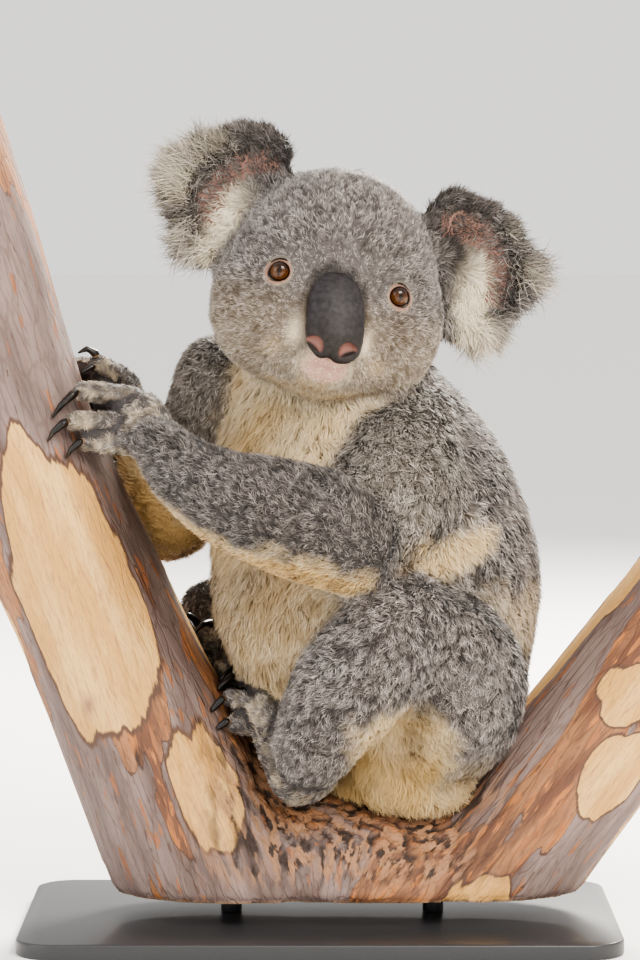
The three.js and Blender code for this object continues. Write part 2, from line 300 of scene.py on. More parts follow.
# The face is bare or short haired round the eyes, the nose pad and the lips
local = inHead(points)
eyeAway = np.minimum(*[np.linalg.norm(points - eyeMiddle[s], axis=1) / mm for s in ("left", "right")])
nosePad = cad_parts["nose_pad"].data
nosePadTree = BVHTree.FromPolygons([v.co for v in nosePad.vertices], [p.vertices for p in nosePad.polygons])
noseAway = np.array([nosePadTree.find_nearest(Vector(p), 0.05)[3] or 0.05 for p in points]) / mm
face = ease(0.35, 0.8, share("head")) * ease(2, -14, local[:, 1])
lipAway = np.hypot(local[:, 0] / lipLook["half"][0], (local[:, 2] - lipLook["up"]) / lipLook["half"][1])
lips = face * ease(1.25, 0.6, lipAway)
depth = looked("depth") * (1 - 0.45 * face)
depth *= 1 - 0.7 * share("head") * ease(skinLook["eyeClear"], 9, eyeAway)
depth *= 1 - 0.9 * share("head") * ease(skinLook["noseClear"], 1.5, noseAway)
depth *= 1 - 0.75 * lips
points = points - normalsOf(skin.data) * depth[:, None] * mm
points = points * (1 - 0.6 * (1 - fine)) + relaxed(points, table, counts, 3) * 0.6 * (1 - fine)
mouthAway = local[:, 2] - lipLook["mouthUp"] + 0.012 * local[:, 0] ** 2
mouthLine = face * bell(mouthAway, 1.6) * ease(17, 10, abs(local[:, 0]))
points = points - normalsOf(skin.data) * mouthLine[:, None] * lipLook["mouthDeep"] * mm
movePoints(skin.data, points)
shadeSmooth(skin.data)
normals = normalsOf(skin.data)
local = inHead(points)
print("skin", len(points), "points")


# Markings, as amounts from 0 to 1 at each point of the skin

trunkTurn = {"height": (110, 360), "angle": (36, 55)}  # which way the front faces, low down and high up
seat = {"middle": (52, 122), "half": (36, 42)}  # cream fur under the near thigh, across and up
flank = {"from": (50, 238), "to": (98, 262), "half": 10}  # a pale streak behind the elbow, across and up
# soft spots on each side of the face: out and up from its middle, and half sizes
faceSpots = {"cheek": (22, -32, 4.2, 8), "stain": (32, -43, 8, 8), "underEye": (40, -13, 12, 8)}

height = points[:, 2] / mm
angle = np.radians(np.interp(height, trunkTurn["height"], trunkTurn["angle"]))
frontward = -normals[:, 0] * np.cos(angle) - normals[:, 1] * np.sin(angle)
broad = noiseAt(points, 0.030, 3)
middling = noiseAt(points, 0.011, 7)
small = noiseAt(points, 0.0045, 11)
ragged = 0.16 * broad + 0.13 * middling + 0.08 * small

trunkShare = share("trunk", "neck")
seatAway = np.hypot(*((points[:, [0, 2]] / mm - seat["middle"]) / seat["half"]).T)
flat = points[:, [0, 2]] / mm - flank["from"]
span = np.subtract(flank["to"], flank["from"])
spanAway = np.linalg.norm(flat - np.clip(flat @ span / (span @ span), 0, 1)[:, None] * span, axis=1)
sideways = abs(local[:, 0])


def faceSpot(name):
    outAt, upAt, wide, tall = faceSpots[name]
    return np.exp(-(((sideways - outAt) / wide) ** 2 + ((local[:, 2] - upAt) / tall) ** 2))


stain = faceSpot("stain")
eyeSide = np.stack([sideways - inHead(eyeMiddle["left"])[0], local[:, 2] - head["eyeUp"]], 1)
innerness = np.clip(eyeSide @ np.array(lidLook["innerWay"]) / np.maximum(eyeAway, 1), 0, 1) ** 2
lidEdge = lidLook["reach"] + lidLook["innerReach"] * innerness
lidPatch = bell(eyeAway - lidEdge - 1.0, 1.2)
jaw = ease(-34, -60, local[:, 2] - 0.12 * sideways + 26 * ragged)
pale = np.maximum.reduce([
    trunkShare * ease(0.12, 0.62, frontward + ragged),
    share("forearm", "upper_arm") * ease(0.42, 0.86, -normals[:, 2] + ragged),
    share("forearm_right") * ease(-0.1, 0.45, normals @ (0.5, -0.75, -0.3) + ragged),
    share("forearm_left") * ease(0.2, 0.8, normals @ (0, 1, -0.3) + ragged),
    share("thigh", "shin", "trunk") * 0.9 * ease(1.15, 0.55, seatAway + 1.1 * ragged)
    * ease(0.35, -0.1, normals[:, 1]),
    share("trunk", "upper_arm", "thigh") * 0.8 * ease(1.5, 0.1, spanAway / flank["half"] + 2.6 * ragged)
    * ease(0.25, -0.2, normals[:, 1]),
    trunkShare * 0.28 * ease(0.5, 0.1, abs(height - 205) / 70 + ragged)
    * ease(40, 70, points[:, 0] / mm) * ease(0.1, -0.5, normals[:, 1]),
    face * np.clip(0.85 * faceSpot("cheek") + 0.3 * lidPatch + 0.12 * jaw + 0.1 * stain, 0, 1),
    lips,
    0.5 * (face * bell(lipAway - 1.1, 0.16)),
])

rump = share("trunk", "thigh") * ease(128, 92, height + 40 * ragged)
throat = share("head", "neck") * ease(-54, -72, local[:, 2] + 34 * ragged) * ease(20, -20, local[:, 1])
# painted shade: lower on the belly the cream hair is mixed more with the darker golden hair
lowBellyShade = ease(315, 250, height)
warm = np.clip(0.75 * rump + 0.6 * throat, 0, 1)
warm = np.maximum(warm, (0.62 + 0.4 * broad + 0.38 * lowBellyShade) * pale * (1 - share("head", "ear")))
warm = np.clip(np.maximum(warm, 0.13 * face * ease(6, -30, local[:, 2])), 0, 1)
warm = np.maximum(warm, 0.34 * face * stain)
pale = np.maximum.reduce([pale, 0.7 * rump, 0.10 * share("upper_arm")])
# painted shade: the arm's shadow on the belly, where the cream and golden hair are darkened
paintedArmShade = trunkShare * ease(264, 240, height) * ease(150, 175, height) * ease(0.2, 0.6, frontward)
belly = pale * trunkShare
pale *= 1 - 0.9 * paintedArmShade
warm *= 1 - 0.42 * paintedArmShade

brown = 0.05 * share("head") + 0.55 * trunkShare * ease(0.15, -0.5, frontward) + 0.1 * share("upper_arm")
brown = np.clip(brown + 0.25 * share("forearm", "upper_arm", "shin", "thigh") * (0.4 + broad), 0, 1)
noseRim = face * ease(7.5, 4.0, noseAway + 4 * small) * ease(-34, -14, local[:, 2])
cheekMottle = 0.35 * face * ease(0.15, 0.55, middling + broad) * ease(20, 34, sideways)
cheekMottle = cheekMottle * ease(2, -12, local[:, 2])
dark = np.clip(0.95 * noseRim + 0.3 * face * faceSpot("underEye") + cheekMottle, 0, 1)
dark = np.maximum(dark, (1 - pale) * np.maximum(0.3 * ease(0.15, 0.5, middling), 0.5 * share("forearm")))
dark = np.maximum(dark, share("head") * (1 - pale) * (0.13 + 0.3 * middling) * ease(-24, 4, local[:, 2]))

# Ears: skin coloured hollow, dark hair at the inner upper edge, cream hair low down and out at the rim
hollow = np.zeros(len(points))
rim = np.zeros(len(points))
earOut = np.zeros((len(points), 3))
for side, sign in sides:
    inEar = share("ear_" + side)
    centre = inHead(middleOf("ear_" + side)[None])[0]
    away = local - centre
    reach = np.hypot(away[:, 0] / 30, away[:, 2] / 42)
    facing = normals @ (-headAxes[1])
    out, up = sign * away[:, 0], away[:, 2]
    inside = inEar * ease(-0.05, 0.35, facing)
    flatAway = np.stack([out, up], 1)
    bandAway = np.full(len(points), 99.0)
    for first, second in zip(earLook["band"][:-1], earLook["band"][1:]):
        first, span = np.array(first, float), np.subtract(second, first)
        t = np.clip(((flatAway - first) @ span) / (span @ span), 0, 1)[:, None]
        bandAway = np.minimum(bandAway, np.linalg.norm(flatAway - first - t * span, axis=1))
    hollow = np.maximum(hollow, inside * ease(earLook["bandWide"], 5.0, bandAway + 16 * ragged))
    outer = out - 0.25 * up
    rim = np.maximum(rim, inEar * ease(earLook["rimFrom"], earLook["rimTo"], reach) * ease(-14, 8, outer))
    topEdge = inEar * ease(-8, -24, outer + 22 * ragged)
    topEdge = np.maximum(topEdge, 0.75 * inEar * ease(20, 32, up + 14 * ragged))
    outerStreaks = inside * ease(4, 13, out + 12 * ragged)
    dark = np.maximum(dark, np.maximum(0.85 * topEdge, 0.75 * outerStreaks * (0.6 + 1.8 * small)))
    lowTuft = inside * ease(1.45, 0.45, np.hypot((out + 11 + 0.15 * up) / 14, (up + 17) / 30) + 1.1 * ragged)
    fringe = (0.34 + 0.6 * middling) * (inEar * ease(0.64, 0.9, reach + 0.2 * ragged) * ease(-16, 4, outer))
    pale = np.maximum(pale, np.maximum(0.85 * lowTuft, fringe) * (1 - 0.6 * topEdge))
    outward = np.array([sign * 1.0, -0.25, -0.15]) @ headAxes
    earOut += inEar[:, None] * unit(0.6 * unit(away @ headAxes) + 0.7 * outward)

# Hands and feet: bare pads where they face the gripped limb, painted shade in the creases and gaps between the
# digits
grip = {"low": (-66, 0, 40), "high": (-268, 0, 552)}  # the gripped limb's middle line, roughly
low, high = (np.array(grip[k]) * mm for k in ("low", "high"))
along = np.clip(((points - low) @ (high - low)) / ((high - low) @ (high - low)), 0, 1)
inward = unit(low + along[:, None] * (high - low) - points)
paws = share("hand", "foot")
pad = paws * ease(0.15, 0.6, (normals * inward).sum(1))
# painted light: on the far foot the dark pads are weakened, to lift the shade it lies in
pad *= 1 - 0.7 * share("foot_right")
# painted shade: where the surface dips between the digits the hair is darkened, and the deepest creases get
# bare skin in the pads' dark colour
inner = ((relaxed(points, table, counts, 12) - points) * normals).sum(1) / mm
creaseShade = paws * ease(0.04, 0.24, inner)
gap = paws * ease(-0.02, 0.1, inner)
dark = np.maximum(dark, np.maximum(0.95 * gap, paws * (0.24 - 0.6 * small)))
# painted light: the far foot's hair is made paler, to lift the shade it lies in
pawPale = paws * (0.06 + 0.4 * middling + 0.4 * small + 0.2 * share("foot_right"))
pale = np.maximum(pale, pawPale) * (1 - 0.9 * gap)
warm = np.maximum(warm, 0.5 * paws * pale)
# the pads' mask also carries the painted shade of the deepest creases
pad = np.maximum(pad, 0.9 * creaseShade)
bare = np.maximum.reduce([pad, 0.76 * hollow, lips * 0.5, face * ease(1.0, -0.3, eyeAway - lidEdge)])
bare = np.clip(bare, 0, 1)
marks = np.stack([pale, warm, dark, brown], 1)
storeColour(skin.data, "coatMarks", pale, warm, dark, brown)
storeColour(skin.data, "bareMarks", bare, hollow, np.clip(2.5 * pad, 0, 1), lips)


# Lie of the coat over the whole skin, waved a little and laid along the surface

flow = np.zeros((len(points), 3))
for number, node in enumerate(fleshNodes):
    if kindOf(node) == "head":
        field = unit(points - fromHead(0, -60, -20))
    elif kindOf(node) == "ear":
        field = earOut
    else:
        field = np.tile(unit(np.array(lieOfCoat[node], float)), (len(points), 1))
    flow += shares[:, [number]] * field
wave = 0.5 * noiseAt(points, 0.018, 23) + 0.5 * noiseAt(points, 0.007, 29)


def laidAlong(vectors):
    return unit(vectors - (vectors * normals).sum(1, keepdims=True) * normals)


flow = laidAlong(relaxed(laidAlong(flow), table, counts, 10))
flow = unit(flow + np.cross(normals, flow) * (wave * 0.9)[:, None])
hairLength = looked("length") * (1 + 0.22 * middling)
hairLength *= (1 - 0.42 * face) * (1 - 0.5 * face * ease(34, 8, noseAway)) * (1 - 0.5 * hollow)
hairLength *= 1 - 0.5 * share("head") * ease(20, 10, eyeAway)
hairLength = np.maximum(hairLength * (1 - 0.6 * lips), 1.6)
hairLength = hairLength + earLook["fringe"] * rim * (0.55 + 0.45 * abs(broad))
hairLength *= 1 + 0.45 * belly
hairRise = looked("rise") + 14 * rim + 8 * small + 16 * noseRim
hairWidth = looked("width") * (1 - 0.36 * face) * (1 - 0.24 * belly)
cover = np.clip(1 - bare * 1.05, 0, 1)
print("markings and lie of the coat")


# Coat: tufts of hair, each a thin bent blade of three triangles with its root in the skin

coatPieces = {  # where it grows, its slot, tufts, width of a clump, how curly
    "coat_face": ("face", "grey_fur", 63000, 2.8, 0.8),
    "coat_head": ("crown", "grey_fur", 34000, 3.6, 0.9),
    "coat_ears": ("ears", "ear_fur", 52000, 4.0, 0.6),
    "coat_front": ("front", "cream_fur", 65000, 7.0, 0.45),
    "coat_back_upper": ("upper back", "grey_fur", 42000, 6.0, 1.0),
    "coat_back_lower": ("lower back", "grey_fur", 42000, 6.0, 1.0),
    "coat_arm_left": ("left arm", "grey_fur", 65000, 3.8, 1.0),
    "coat_arm_right": ("right arm", "grey_fur", 34000, 4.2, 1.0),
    "coat_leg_left": ("left leg", "grey_fur", 65000, 4.2, 1.0),
    "coat_leg_right": ("right leg", "grey_fur", 32000, 4.5, 1.0),
}
tuft = {
    "gather": 0.62, "swirl": 0.75, "scatter": 0.6, "roll": 0.55, "bend": 0.55, "sunk": 0.5, "patch": 0.003,
    "backSplit": 235, "faceBack": 4,
}

quads = np.array([tuple(f.vertices) for f in skin.data.polygons if len(f.vertices) == 4])
corner = points[quads]
area = (np.linalg.norm(np.cross(corner[:, 1] - corner[:, 0], corner[:, 3] - corner[:, 0]), axis=1)
        + np.linalg.norm(np.cross(corner[:, 1] - corner[:, 2], corner[:, 3] - corner[:, 2]), axis=1)) / 2
quadOwner = shares[quads].mean(1).argmax(1)


def ownedBy(*kinds):
    return np.isin(quadOwner, [i for i, n in enumerate(fleshNodes) if kindOf(n) in kinds or n in kinds])


quadAhead = local[quads].mean(1)[:, 1] < tuft["faceBack"]
quadFront = frontward[quads].mean(1) > 0.1
quadHigh = height[quads].mean(1) > tuft["backSplit"]
coatParts = {
    "face": ownedBy("head") & quadAhead,
    "crown": ownedBy("head") & ~quadAhead,
    "ears": ownedBy("ear"),
    "front": ownedBy("trunk", "neck") & quadFront,
    "upper back": ownedBy("trunk", "neck") & ~quadFront & quadHigh,
    "lower back": ownedBy("trunk", "neck") & ~quadFront & ~quadHigh,
}
for side, sign in sides:
    coatParts[side + " arm"] = ownedBy(*[part + side for part in ("upper_arm_", "forearm_", "hand_")])
    coatParts[side + " leg"] = ownedBy(*[part + side for part in ("thigh_", "shin_", "foot_")])


def unwrapped(roots, normals, parts, ears):
    # each part is turned flat round its own long axis, in its own strip; the two sides of an ear lie apart
    if ears:
        parts = parts * 2 + (normals @ headAxes[1] > 0)
    spot = np.zeros((len(roots), 2))
    strips = np.unique(parts)
    for number, part in enumerate(strips):
        mine = parts == part
        away = roots[mine] - roots[mine].mean(0)
        if ears:
            flat = away @ headAxes[[0, 2]].T
        else:
            first, second, third = np.linalg.eigh(away.T @ away)[1].T
            middle = np.arctan2(*(normals[mine].mean(0) @ np.stack([second, first], 1)))
            turned = np.arctan2(away @ second, away @ first) - middle
            flat = np.stack([(turned + math.pi) % (2 * math.pi), away @ third], 1)
        flat = (flat - flat.min(0)) / np.maximum(np.ptp(flat, 0), 1e-9)
        spot[mine] = (flat * 0.985 + [number + 0.004, 0.004]) / [len(strips), 1]
    return spot * [1, 0.995]


def bladeMesh(name, blade):
    # one quad and one triangle over the five points of each tuft
    count = len(blade)
    mesh = bpy.data.meshes.new(name)
    mesh.vertices.add(count * 5)
    mesh.vertices.foreach_set("co", blade.ravel())
    mesh.loops.add(count * 7)
    corners = np.arange(count)[:, None] * 5 + np.array([0, 1, 3, 2, 2, 3, 4])
    mesh.loops.foreach_set("vertex_index", corners.ravel())
    mesh.polygons.add(count * 2)
    mesh.polygons.foreach_set("loop_start", (np.arange(count)[:, None] * 7 + np.array([0, 4])).ravel())
    shadeSmooth(mesh)
    mesh.update(calc_edges=True)
    return mesh


def clumped(root, draw, weight, size):
    # the clump that each tuft belongs to, and how far out in it the tuft stands
    clumps = max(1, int(weight.sum() / (size * mm) ** 2))
    nest = KDTree(clumps)
    for number, chosen in enumerate(draw.choice(len(root), clumps, replace=False)):
        nest.insert(Vector(root[chosen]), number)
    nest.balance()
    found = [nest.find(Vector(r)) for r in root]
    group = np.array([f[1] for f in found])
    return clumps, group, np.clip(np.array([f[2] for f in found]) / (size * 0.75 * mm), 0, 1)


def growCoat(name, part, slot, count, clumpSize, curly, material, seed):
    draw = np.random.default_rng(seed)
    weight = np.where(coatParts[part], area * cover[quads].mean(1), 0)
    if weight.sum() == 0:
        raise ValueError(name + " has no skin to grow on")
    ladder = np.cumsum(weight) / weight.sum()
    pick = np.searchsorted(ladder, (np.arange(count) + draw.random(count)) / count).clip(0, len(quads) - 1)
    s, t = draw.random((2, count, 1))
    blend = np.concatenate([(1 - s) * (1 - t), s * (1 - t), s * t, (1 - s) * t], 1)

    def taken(values):
        return np.einsum("nk,nk...->n...", blend, values[quads[pick]])

    root, normal, lie = taken(points), unit(taken(normals)), taken(flow)
    lie = unit(lie - (lie * normal).sum(1, keepdims=True) * normal)
    clumps, group, edge = clumped(root, draw, weight, clumpSize)
    swirl = draw.normal(0, tuft["swirl"], clumps)[group] + draw.normal(0, tuft["scatter"], count)
    lie = unit(lie + np.cross(normal, lie) * (swirl * curly)[:, None])
    length = taken(hairLength) * mm * draw.uniform(0.65, 1.15, count)
    rise = np.radians(taken(hairRise) + draw.normal(0, 8, count))
    width = taken(hairWidth) * mm * draw.uniform(0.7, 1.2, count)

    def lifted(angle):
        return lie * np.cos(angle)[:, None] + normal * np.sin(angle)[:, None]

    first = root - normal * tuft["sunk"] * mm
    middle = first + lifted(rise * 1.35) * (length * 0.45)[:, None]
    bend = draw.normal(0, tuft["bend"], count) * curly * length * 0.55
    tip = middle + lifted(rise * 0.55) * (length * 0.55)[:, None] + np.cross(normal, lie) * bend[:, None]
    size = np.maximum(np.bincount(group, minlength=clumps), 1)[:, None]
    gathered = np.stack([np.bincount(group, tip[:, k], minlength=clumps) for k in range(3)], 1) / size
    tip += (gathered[group] - tip) * (tuft["gather"] * draw.random((count, 1)))
    sideways = unit(np.cross(lie, normal) + normal * draw.normal(0, tuft["roll"], (count, 1)))
    half = sideways * (width / 2)[:, None]
    blade = np.stack([first - half, first + half, middle - half * 0.75, middle + half * 0.75, tip], 1)
    mesh = bladeMesh(name, blade)

    spot = unwrapped(root, normal, quadOwner[pick], part == "ears")
    p = tuft["patch"]
    patch = np.array([[0, 0], [p, 0], [p, p / 2], [0, p / 2], [0, p / 2], [p, p / 2], [p / 2, p]])
    mesh.uv_layers.new(name="OFBake").data.foreach_set("uv", (spot[:, None] + patch).ravel())

    faceWay = np.cross(middle - first, half)
    soft = unit(0.62 * normal + 0.38 * unit(faceWay) * np.sign((faceWay * normal).sum(1, keepdims=True)))
    mesh.normals_split_custom_set_from_vertices(np.repeat(soft, 5, 0))
    fateAndCreaseShade = draw.random(count) * (1 - 0.55 * edge ** 2)  # random tone, with painted shade: tufts out at a clump's edge, in the creases between the clumps, are darker
    clumpFate = draw.random(clumps)[group]
    storeColour(mesh, "coatMarks", *np.repeat(taken(marks), 5, 0).T)
    along = np.tile([0, 0, 0.5, 0.5, 1], count)
    storeColour(mesh, "coatStrand", along, np.repeat(fateAndCreaseShade, 5), np.repeat(clumpFate, 5))
    finishPiece(inScene(name, mesh), slot, material)
    print(name, count * 3, "triangles over", round(weight.sum() * 1e4), "cm2, ",
          "tip above skin mm", round(float(((tip - root) * normal).sum(1).mean() / mm), 2))


# Materials

inHand = {}  # the node tree that the helpers below add to


def newMaterial(name, **settings):
    material = bpy.data.materials.new(name)
    material.use_nodes = True
    shader = material.node_tree.nodes["Principled BSDF"]
    for socket, value in settings.items():
        shader.inputs[socket].default_value = value
    inHand["tree"] = material.node_tree
    return material, shader


def addNode(kind, **settings):
    node = inHand["tree"].nodes.new(kind)
    for name, value in settings.items():
        setattr(node, name, value)
    return node


def link(output, socket):
    inHand["tree"].links.new(output, socket)


def fillSocket(socket, value):
    # value is another node's socket, a plain number or a colour
    if isinstance(value, bpy.types.NodeSocket):
        link(value, socket)
    elif isinstance(value, tuple):
        socket.default_value = (*value, 1)
    else:
        socket.default_value = value


def mixed(amount, first, second):
    node = addNode("ShaderNodeMix", data_type="RGBA")
    for number, value in ((0, amount), (6, first), (7, second)):
        fillSocket(node.inputs[number], value)
    return node.outputs[2]


def worked(operation, *values):
    node = addNode("ShaderNodeMath", operation=operation, use_clamp=operation in ("ADD", "MULTIPLY"))
    for socket, value in zip(node.inputs, values):
        fillSocket(socket, value)
    return node.outputs[0]


def layered(colour, *layers):
    # each layer is how much of it shows and its colour, from the bottom up
    for amount, over in layers:
        colour = mixed(amount, colour, over)
    return colour


def added(first, second):
    return worked("ADD", first, second)


def times(first, second):
    return worked("MULTIPLY", first, second)


def ranged(value, low, high):
    node = addNode("ShaderNodeMapRange", interpolation_type="SMOOTHSTEP")
    link(value, node.inputs[0])
    node.inputs[1].default_value, node.inputs[2].default_value = low, high
    return node.outputs[0]


def noiseNode(size, detail=3, vector=None, output="Fac"):
    node = addNode("ShaderNodeTexNoise")
    node.inputs["Scale"].default_value = 1 / size
    node.inputs["Detail"].default_value = detail
    link(vector or addNode("ShaderNodeTexCoord").outputs["Object"], node.inputs["Vector"])
    return node.outputs[output]


def storedIn(name, output="Color"):
    return addNode("ShaderNodeAttribute", attribute_name=name).outputs[output]


def channelsOf(colour):
    split = addNode("ShaderNodeSeparateColor")
    link(colour, split.inputs[0])
    return split.outputs


def bumped(shader, height, strength, distance):
    node = addNode("ShaderNodeBump")
    node.inputs["Strength"].default_value = strength
    node.inputs["Distance"].default_value = distance
    link(height, node.inputs["Height"])
    link(node.outputs[0], shader.inputs["Normal"])


hairColours = {  # root and tip of each kind of hair
    "grey": ((0.030, 0.023, 0.021), (0.95, 0.86, 0.80)),
    "brown": ((0.024, 0.015, 0.011), (0.68, 0.54, 0.44)),
    "dark": ((0.010, 0.008, 0.007), (0.24, 0.20, 0.18)),
    "cream": ((0.60, 0.48, 0.31), (0.95, 0.87, 0.69)),
    "warm": ((0.33, 0.19, 0.06), (0.74, 0.53, 0.24)),
}


def hairColourGroup():
    tree = inHand["tree"] = bpy.data.node_groups.new("hairColour", "ShaderNodeTree")
    for name, kind in (("Marks", "Color"), ("Brown", "Float"), ("Strand", "Color")):
        tree.interface.new_socket(name, in_out="INPUT", socket_type="NodeSocket" + kind)
    tree.interface.new_socket("Colour", in_out="OUTPUT", socket_type="NodeSocketColor")
    inside, outside = addNode("NodeGroupInput"), addNode("NodeGroupOutput")
    pale, warm, dark = channelsOf(inside.outputs["Marks"])
    tip, fateAndCreaseShade, clump = channelsOf(inside.outputs["Strand"])
    # fate carries each tuft's random tone and the painted shade in the creases between clumps
    lightness = added(worked("POWER", fateAndCreaseShade, 2.2), times(clump, 0.25))
    along = times(worked("POWER", tip, 1.2), lightness)
    soft = added(added(times(tip, 0.5), times(fateAndCreaseShade, 0.32)), 0.12)
    shade = {}
    for kind, ends in hairColours.items():
        shade[kind] = mixed(soft if kind in ("cream", "warm") else along, *ends)
    colour = layered(shade["grey"], (inside.outputs["Brown"], shade["brown"]), (dark, shade["dark"]),
                     (pale, shade["cream"]), (warm, shade["warm"]))
    link(colour, outside.inputs[0])
    return tree


hairColour = hairColourGroup()


def hairColourIn(strand):
    group = addNode("ShaderNodeGroup", node_tree=hairColour)
    marked = addNode("ShaderNodeAttribute", attribute_name="coatMarks")
    link(marked.outputs["Color"], group.inputs["Marks"])
    link(marked.outputs["Alpha"], group.inputs["Brown"])
    fillSocket(group.inputs["Strand"], strand)
    return group.outputs[0]


coatMaterial, shader = newMaterial("coat_hair", Roughness=0.62, **{
    "Specular IOR Level": 0.22, "Sheen Weight": 0.25, "Sheen Roughness": 0.5})
link(hairColourIn(storedIn("coatStrand")), shader.inputs["Base Color"])

skinColours = {
    "lid": (0.34, 0.235, 0.185), "hollow": (0.20, 0.10, 0.075), "lips": (0.46, 0.265, 0.205),
    "pad": (0.035, 0.030, 0.030), "freckle": (0.05, 0.035, 0.03),
}
underHair = (0.45, 0.35, 0.4)  # the skin is coloured as hair is at this height, fate (random tone with painted crease shade) and clump
skinMaterial, shader = newMaterial("body_skin", Roughness=0.7)
bareNode = addNode("ShaderNodeAttribute", attribute_name="bareMarks")
bareSplit = channelsOf(bareNode.outputs["Color"])
freckles = times(ranged(noiseNode(2.2 * mm, 4), 0.35, 0.7), 0.22)
# the pads' colour also paints the shade in the creases of the hands and feet
colour = layered(hairColourIn(underHair), (bareSplit[0], skinColours["lid"]),
                 (bareSplit[1], skinColours["hollow"]), (bareNode.outputs["Alpha"], skinColours["lips"]),
                 (bareSplit[2], skinColours["pad"]), (freckles, skinColours["freckle"]))
link(colour, shader.inputs["Base Color"])
bumped(shader, noiseNode(1.1 * mm, 4), 0.35, 0.4 * mm)

finishPiece(skin, "grey_fur", skinMaterial, *fleshNodes)
for number, (name, look) in enumerate(coatPieces.items()):
    growCoat(name, *look, coatMaterial, randomSeed + number)


# Eyes: a ball with a raised cornea, and a bare lid that closes the gap to the skin

eyeLook = {
    "opening": 6.35, "cornea": 0.9, "outwardTurn": 10, "segments": 64, "rings": 40,
    "iris": ((0.045, 0.015, 0.003), (0.095, 0.034, 0.006)), "shadow": (0.016, 0.006, 0.002),
    "rim": (0.008, 0.004, 0.003), "pupil": (0.010, 0.004, 0.002),
}
eyeMaterial, shader = newMaterial("eye_gloss", Roughness=0.10, **{
    "Coat Weight": 0.5, "Coat Roughness": 0.02, "IOR": 1.33, "Specular IOR Level": 0.3})
split = addNode("ShaderNodeSeparateXYZ")
link(storedIn("gaze", "Vector"), split.inputs[0])
x, z = split.outputs[0], split.outputs[2]
radius = worked("SQRT", added(times(x, x), times(z, z)))
wide, tall = worked("ABSOLUTE", x), worked("ABSOLUTE", z)
slit = added(times(wide, 2.2), times(tall, 0.9))
iris = mixed(ranged(noiseNode(0.7 * mm, 5), 0.3, 0.7), *eyeLook["iris"])
iris = mixed(ranged(z, -0.15, 0.45), iris, eyeLook["shadow"])
iris = mixed(ranged(radius, 0.60, 0.74), iris, eyeLook["rim"])
iris = mixed(ranged(slit, 0.18, 0.60), eyeLook["pupil"], iris)
link(iris, shader.inputs["Base Color"])

lidShape = {
    "around": 72, "steps": 9, "cornerTurn": 40, "cornerOpen": 1.5, "droop": 0.35, "clear": 0.45, "swell": 1.1,
    "thick": 0.5, "edge": (0.020, 0.010, 0.007), "middle": (0.25, 0.135, 0.09), "outer": (0.32, 0.23, 0.17),
    "wrinkle": (0.15, 0.085, 0.06),
}
lidMaterial, shader = newMaterial("lid_skin", Roughness=0.55)
lidOut = storedIn("lidReach", "Fac")
colour = mixed(ranged(lidOut, 0.10, 0.30), lidShape["edge"], lidShape["middle"])
colour = mixed(ranged(lidOut, 0.40, 0.80), colour, lidShape["outer"])
wrinkles = times(ranged(noiseNode(1.5 * mm, 5), 0.35, 0.7), 0.7)
link(mixed(wrinkles, colour, lidShape["wrinkle"]), shader.inputs["Base Color"])
bumped(shader, noiseNode(0.9 * mm, 4), 0.4, 0.3 * mm)

skinTree = BVHTree.FromPolygons([Vector(p) for p in pointsOf(skin.data)],
                                [tuple(f.vertices) for f in skin.data.polygons])


def lidPoint(centre, look, right, over, inwards, turned, s):
    # s runs from 0 on the ball to 1 on the skin
    way = right * math.cos(turned) + over * math.sin(turned)
    nearCorner = max(0, math.cos(turned - inwards))
    reach = lidLook["reach"] + 1.0 + lidLook["innerReach"] * nearCorner ** 2
    opening = (eyeLook["opening"] + lidShape["cornerOpen"] * nearCorner ** 6
               - lidShape["droop"] * max(0, math.sin(turned)))
    ball = head["eyeRadius"] + lidShape["clear"]
    onBall = centre + (way * opening + look * math.sqrt(max(ball ** 2 - opening ** 2, 4))) * mm
    hit = skinTree.ray_cast(Vector(centre + way * reach * mm + look * 16 * mm), Vector(-look))[0]
    onSkin = np.array(hit) + look * 0.2 * mm if hit else centre + way * reach * mm
    swell = math.sin(math.pi * min(1, s * 1.15)) * lidShape["swell"] * mm
    return onBall * (1 - s) + onSkin * s + look * swell * (1 - s)


def addEyeball(side, centre, axes):
    bpy.ops.object.select_all(action="DESELECT")
    bpy.ops.mesh.primitive_uv_sphere_add(segments=eyeLook["segments"], ring_count=eyeLook["rings"],
                                         radius=head["eyeRadius"] * mm)
    ball = bpy.context.object
    ball.name = ball.data.name = "eyeball_" + side
    spots = pointsOf(ball.data)[:, [0, 2, 1]] * np.array([1, -1, 1])  # pole of the ball looks out
    gaze = spots / (head["eyeRadius"] * mm)
    bulge = ease(0.72, 0.98, -gaze[:, 1])
    spots = spots * (1 + bulge[:, None] * eyeLook["cornea"] / head["eyeRadius"])
    movePoints(ball.data, centre + spots @ axes)
    storeValues(ball.data, "gaze", gaze)
    shadeSmooth(ball.data)
    finishPiece(ball, "eye", eyeMaterial, "eye_" + side)


